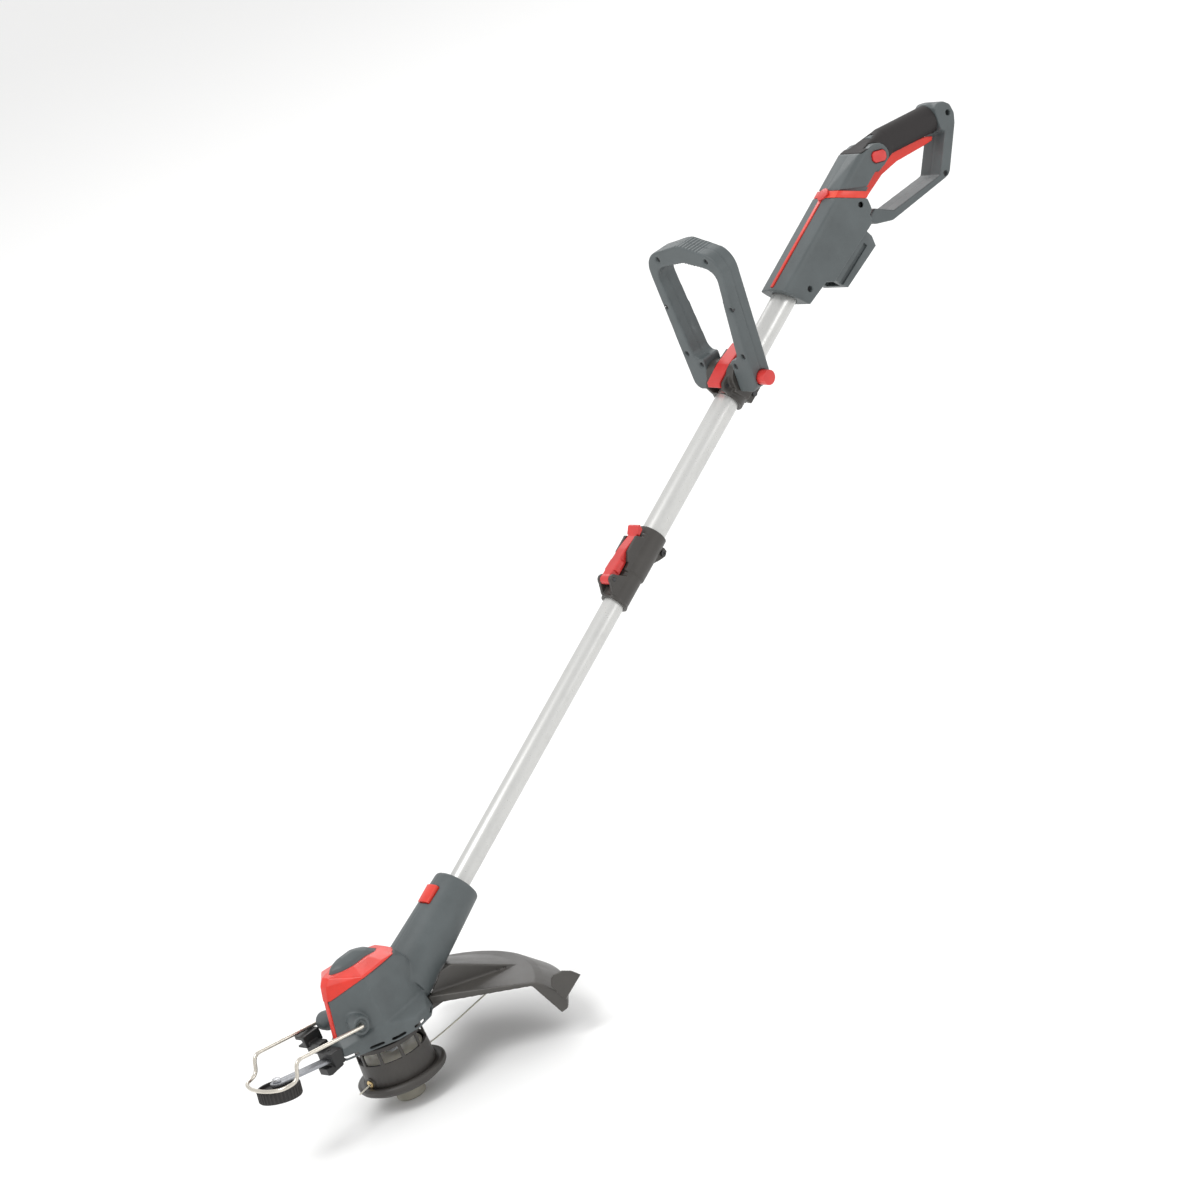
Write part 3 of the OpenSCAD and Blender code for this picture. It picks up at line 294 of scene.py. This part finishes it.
mouldedSet = {
    # finish: tone, painted edge highlight tone, painted highlight share, grain size, grain depth, matt, specular, coat
    "shell": ((0.082, 0.096, 0.099, 1), (0.18, 0.195, 0.20, 1), 0.5, 2300, 0.30, 0.46, 0.5, 0.0),
    "clamp": ((0.045, 0.041, 0.037, 1), (0.15, 0.14, 0.13, 1), 0.5, 2000, 0.30, 0.45, 0.5, 0.0),
    "guard": ((0.058, 0.054, 0.049, 1), (0.20, 0.19, 0.17, 1), 0.5, 1700, 0.34, 0.42, 0.55, 0.0),
    "black": ((0.014, 0.014, 0.014, 1), (0.08, 0.08, 0.08, 1), 0.5, 2000, 0.25, 0.42, 0.5, 0.0),
    "trim": ((0.66, 0.024, 0.010, 1), (0.90, 0.16, 0.09, 1), 0.4, 2400, 0.10, 0.34, 0.5, 0.15),
    "red": ((0.58, 0.030, 0.027, 1), (0.85, 0.18, 0.15, 1), 0.4, 2400, 0.16, 0.38, 0.5, 0.1),
    "soft": ((0.026, 0.023, 0.023, 1), (0.07, 0.065, 0.06, 1), 0.4, 1500, 0.60, 0.66, 0.35, 0.0),
    "knob": ((0.30, 0.285, 0.235, 1), (0.45, 0.43, 0.38, 1), 0.5, 1800, 0.35, 0.50, 0.5, 0.0),
    "tread": ((0.026, 0.024, 0.023, 1), (0.10, 0.09, 0.085, 1), 0.6, 1500, 0.50, 0.62, 0.4, 0.0),
    "lead": ((0.015, 0.015, 0.015, 1), (0.05, 0.05, 0.05, 1), 0.3, 1500, 0.20, 0.50, 0.5, 0.0),
    "board": ((0.018, 0.16, 0.055, 1), (0.3, 0.35, 0.2, 1), 0.6, 900, 0.15, 0.35, 0.5, 0.3),
    "dark_steel": ((0.022, 0.022, 0.024, 1), (0.22, 0.22, 0.23, 1), 0.9, 2600, 0.15, 0.36, 0.6, 0.0),
}
metalSet = {
    # finish: tone, dull tone, streak direction, streak, matt, metallic
    "tube": ((0.60, 0.60, 0.585, 1), (0.48, 0.48, 0.47, 1), (0, shaftLean, 0), 0.16, 0.34, 0.6),
    "steel": ((0.58, 0.59, 0.61, 1), (0.36, 0.37, 0.39, 1), (0, 0, 0), 0.25, 0.28, 1.0),
    "arm": ((0.34, 0.35, 0.37, 1), (0.20, 0.20, 0.21, 1), (0, math.radians(90), 0), 0.30, 0.36, 1.0),
    "wire": ((0.66, 0.62, 0.55, 1), (0.45, 0.42, 0.37, 1), (0, math.radians(90), 0), 0.20, 0.26, 1.0),
    "brass": ((0.62, 0.47, 0.24, 1), (0.38, 0.28, 0.14, 1), (0, 0, 0), 0.20, 0.28, 1.0),
    "copper": ((0.50, 0.25, 0.14, 1), (0.20, 0.18, 0.17, 1), (0, 0, 0), 0.40, 0.40, 1.0),
}
nylonSet = {"tone": (0.70, 0.67, 0.58, 1), "roughness": 0.34, "glow": 0.18}


def wireUp(material, group, skin):
    # puts a finish group in front of the material's own shader
    tree = material.node_tree
    shader = tree.nodes["Principled BSDF"]
    node = tree.nodes.new("ShaderNodeGroup")
    node.node_tree = group
    for label, value in skin.items():
        node.inputs[label].default_value = value
    tree.links.new(node.outputs["Tone"], shader.inputs["Base Color"])
    tree.links.new(node.outputs["Matt"], shader.inputs["Roughness"])
    tree.links.new(node.outputs["Relief"], shader.inputs["Normal"])
    return shader


def mixFinishes():
    finish = {}
    for name, (tone, highlightTone, edgeHighlight, grain, depth, matt, specular, coat) in mouldedSet.items():
        finish[name] = bpy.data.materials.new(name + "Moulded")
        finish[name].use_nodes = True
        # the second tone and its share make the painted highlight on the convex edges
        shader = wireUp(finish[name], mouldedSkin, {
            "Tone": tone, "HighlightTone": highlightTone, "HighlightShare": edgeHighlight, "Grain": grain, "Depth": depth, "Matt": matt})
        shader.inputs["Specular IOR Level"].default_value = specular
        shader.inputs["Coat Weight"].default_value = coat
        shader.inputs["Coat Roughness"].default_value = 0.25
    for name, (tone, dull, lean, streak, matt, metallic) in metalSet.items():
        finish[name] = bpy.data.materials.new(name + "Drawn")
        finish[name].use_nodes = True
        shader = wireUp(finish[name], drawnMetal, {
            "Tone": tone, "Dull": dull, "Lean": lean, "Streak": streak, "Matt": matt})
        shader.inputs["Metallic"].default_value = metallic
    nylon = bpy.data.materials.new("nylonExtruded")
    nylon.use_nodes = True
    # the nylon gets the same painted highlight on its convex edges
    shader = wireUp(nylon, mouldedSkin, {
        "Tone": nylonSet["tone"], "HighlightTone": (0.8, 0.78, 0.7, 1), "HighlightShare": 0.3, "Grain": 900.0, "Depth": 0.1,
        "Matt": nylonSet["roughness"]})
    shader.inputs["Subsurface Weight"].default_value = nylonSet["glow"]
    shader.inputs["Subsurface Radius"].default_value = (0.002, 0.002, 0.0015)
    finish["nylon"] = nylon
    return finish


finish = mixFinishes()
cuttingLine.data.materials.append(finish["nylon"])
print("finishes are mixed:", len(finish))


def settle(piece):
    # makes the modifiers' result the piece's own mesh
    depsgraph = bpy.context.evaluated_depsgraph_get()
    made = bpy.data.meshes.new_from_object(piece.evaluated_get(depsgraph))
    piece.modifiers.clear()
    piece.data = made


def dressed(piece, *names, slot=None, sharp=38):
    # colours a piece, smooths it and lets it stand for the named solids
    slot = slot or slotOf[names[0]]
    piece.data.materials.clear()
    piece.data.materials.append(finish[slot])
    if piece.type == "MESH":
        piece.data.polygons.foreach_set("use_smooth", [True] * len(piece.data.polygons))
        piece.data.set_sharp_from_angle(angle=math.radians(sharp))
    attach(piece, bodyOf[names[0]])
    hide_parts(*names)
    return piece


def cleanCopy(name):
    mesh = bpy.data.meshes.new(name + "Skin")
    bm = bmesh.new()
    bm.from_mesh(nodes[name].data)
    bmesh.ops.remove_doubles(bm, verts=bm.verts, dist=0.00002)
    bmesh.ops.dissolve_degenerate(bm, edges=bm.edges, dist=0.00001)
    bmesh.ops.dissolve_limit(bm, angle_limit=math.radians(1.2), verts=bm.verts, edges=bm.edges)
    bm.to_mesh(mesh)
    bm.free()
    return mesh


def easeEdges(name, width, segments=2, above=30):
    # rounds the sharp edges over, less where the neighbouring edges are short
    mesh = cleanCopy(name)
    bm = bmesh.new()
    bm.from_mesh(mesh)
    weight = bm.edges.layers.float.new("bevel_weight_edge")
    for edge in bm.edges:
        if len(edge.link_faces) == 2 and edge.calc_face_angle(0) > math.radians(above):
            room = min(e.calc_length() for v in edge.verts for e in v.link_edges)
            edge[weight] = min(1.0, max(0.03, room * 0.35 / width))
    bm.to_mesh(mesh)
    bm.free()
    piece = newPiece(name + "Eased", mesh)
    bevel = piece.modifiers.new("roundOver", "BEVEL")
    bevel.limit_method = "WEIGHT"
    bevel.width = width
    bevel.segments = segments
    bevel.use_clamp_overlap = False
    settle(piece)
    return dressed(piece, name)


def softenShell(names, grid, rounds, keep, seam=None, ribs=None, sharp=60):
    # fuses a moulding's halves, melts their edges by a fine remesh, then cuts the parting line and thins the mesh
    bm = bmesh.new()
    for name in names:
        mesh = cleanCopy(name)
        bm.from_mesh(mesh)
    mesh = bpy.data.meshes.new(names[0] + "Skin")
    bm.to_mesh(mesh)
    bm.free()
    piece = newPiece(names[0] + "Moulded", mesh)
    melt = piece.modifiers.new("melt", "REMESH")
    melt.mode = "VOXEL"
    melt.voxel_size = grid
    smooth = piece.modifiers.new("smooth", "SMOOTH")
    smooth.iterations = rounds
    smooth.factor = 0.5
    settle(piece)
    if seam:
        place, across, width, depth = seam
        for v in piece.data.vertices:
            off = abs((v.co - place).dot(across))
            if off < width:
                flat = v.normal - across * v.normal.dot(across)
                v.co -= flat * depth * (1 - off / width)
    if ribs:
        place, along, up, across, low, reach, pitch, height = ribs
        for v in piece.data.vertices:
            local = v.co - place
            side, rise = local.dot(along), local.dot(up)
            flat = abs(v.normal.dot(across))
            if rise > low and abs(side) < reach and flat < 0.55:
                fade = min(1.0, (reach - abs(side)) / 0.004)
                v.co += v.normal * height * fade * (math.cos(2 * math.pi * side / pitch) - 1)
    thin = piece.modifiers.new("thin", "DECIMATE")
    thin.ratio = keep
    settle(piece)
    return dressed(piece, *names, sharp=sharp)


centreSeam = (Vector((0, 0, 0)), Vector((0, 1, 0)), 0.0007, 0.0005)
turnedOut = math.cos(math.radians(5)) * outOfShaft + math.sin(math.radians(5)) * Vector((0, 1, 0))
turnedSide = math.cos(math.radians(5)) * Vector((0, 1, 0)) - math.sin(math.radians(5)) * outOfShaft
loopPivot = shaftBase + alongShaft * 0.768 + turnedOut * 0.0116
loopFront = -alongShaft * math.sin(shaftLean) + turnedOut * math.cos(shaftLean)
loopUp = alongShaft * math.cos(shaftLean) + turnedOut * math.sin(shaftLean)
loopSeam = (loopPivot, loopFront, 0.0008, 0.0006)
# ribs under and over the grip bar: place, along, up, across, from what height, half length, pitch, height
loopRibs = (loopPivot, turnedSide, loopUp, loopFront, 0.110, 0.032, 0.0042, 0.00035)
shellSet = [
    # shell: grid, smoothing rounds, share of faces kept, parting line, ribs
    (("housing_left", "housing_right"), 0.0009, 12, 0.4, centreSeam, None),
    (("soft_grip",), 0.0008, 12, 0.4, None, None),
    (("head_left", "head_right"), 0.0009, 12, 0.4, centreSeam, None),
    (("head_cap",), 0.0007, 14, 0.4, None, None),
    (("head_trim",), 0.0005, 12, 0.4, None, None),
    (("guard",), 0.0009, 8, 0.4, None, None),
    (("loop_front", "loop_rear"), 0.0008, 26, 0.6, loopSeam, loopRibs),
    (("bow_clip",), 0.0006, 4, 0.4, None, None),
    (("trigger",), 0.0006, 12, 0.4, None, None),
    (("clamp_body",), 0.0006, 4, 0.5, None, None),
    (("loop_clamp",), 0.0007, 4, 0.5, None, None),
    (("clamp_lever",), 0.0005, 8, 0.5, None, None),
    (("loop_cam_lever",), 0.0005, 8, 0.5, None, None),
]
easedSet = {
    # piece: edge rounding
    "spine_trim": 0.0005, "badge": 0.0006, "housing_screws": 0.0003, "battery_dock": 0.0007,
    "battery_terminals": 0.0002, "control_board": 0.0003, "trigger_switch": 0.0006, "trigger_pin": 0.0003,
    "lock_button": 0.0009, "upper_tube": 0.0003, "clamp_screw": 0.0004, "clamp_pin": 0.0004,
    "lower_tube": 0.0003, "guide_bush": 0.0005, "loop_clamp_screw": 0.0003, "loop_cam_pin": 0.0004,
    "loop_screws": 0.0002, "tilt_button": 0.0016, "latch_button": 0.001, "motor_can": 0.0008,
    "motor_bearing": 0.0002, "motor_rotor": 0.0005, "cooling_fan": 0.0003, "crown": 0.0007,
    "flange_cap": 0.0006, "eyelets": 0.0004, "line_stub": 0.0001, "line_spool": 0.0005, "line_coil": 0.0006,
    "bump_knob": 0.0012, "guard_screws": 0.0004, "line_cutter": 0.0002, "wheel_arm": 0.0006,
    "wheel_bolt": 0.0007, "edge_wheel": 0.0004,
}

for shell in shellSet:
    softenShell(*shell)
print("shells are moulded:", len(shellSet))
for part, width in easedSet.items():
    easeEdges(part, width, 3)
print("small parts are eased:", len(easedSet))


def rounded(points, radius, steps=6):
    # the same path with its corners bent to a radius
    path = [points[0]]
    for a, b, c in zip(points, points[1:], points[2:]):
        reach = min(radius, (a - b).length * 0.48, (c - b).length * 0.48)
        start, end = b + (a - b).normalized() * reach, b + (c - b).normalized() * reach
        for k in range(steps + 1):
            t = k / steps
            path.append(start * (1 - t) ** 2 + b * 2 * t * (1 - t) + end * t ** 2)
    return path + [points[-1]]


bowSet = {
    "radius": 0.002,
    "corner": 0.008,
    "half": [(39, 23, 104.5), (39, 35.6, 104.5), (44, 36, 105.1), (123, 36, 115.8), (129, 35.6, 97.2),
             (146, 32, 97), (152.5, 17, 97), (154, 0, 97)],
}


def bendBow(values):
    near = [Vector(p) * mm for p in values["half"]]
    far = [Vector((p.x, -p.y, p.z)) for p in reversed(near[:-1])]
    path = rounded(near + far, values["corner"])
    return dressed(tubeAlong("bowWire", path, values["radius"], 16), "wire_bow")


bendBow(bowSet)

springSet = {
    # spring: start, direction, length, coil radius, wire radius, turns
    "trigger_spring": (onShaft(-8.8, 1051.4), onShaft(-17.4, 1049.1) - onShaft(-8.8, 1051.4), 9, 2.2, 0.35, 6),
    "lock_spring": (onShaft(-3.5, 1056, 1.5), Vector((0, 1, 0)), 7.4, 2.3, 0.3, 6),
    "latch_spring": (onShaft(14.2, 137), outOfShaft, 5.2, 2.05, 0.3, 5),
    "spool_spring": (Vector((0, 0, 0.0519)), Vector((0, 0, 1)), 13.6, 7.3, 0.6, 5),
}


def windCoil(name, start, direction, length, radius, wire, turns, body):
    # a coil of wire with its first and last turns closed up
    axis = direction.normalized()
    one = axis.orthogonal().normalized()
    two = axis.cross(one)
    count = int(turns * 18)
    path = []
    for i in range(count + 1):
        t = i / count
        rise = t - math.sin(2 * math.pi * t) / (2 * math.pi) * 0.6
        angle = 2 * math.pi * turns * t
        path.append(start + axis * mm * (wire + rise * (length - 2 * wire))
                    + mm * (radius) * (math.cos(angle) * one + math.sin(angle) * two))
    return dressed(tubeAlong(body, path, wire * mm, 8), name)


for spring, values in springSet.items():
    windCoil(spring, *values, spring + "Wound")
windCoil("tilt_spring", loopPivot + turnedSide * 0.037, turnedSide, 7.8, 6.05, 0.45, 5, "tiltSpringWound")
windCoil("coil_lead", onShaft(0, 655), alongShaft, 270, 3.6, 1.4, 60, "coiledLead")
print("wires and springs are bent")

bpy.context.view_layer.update()
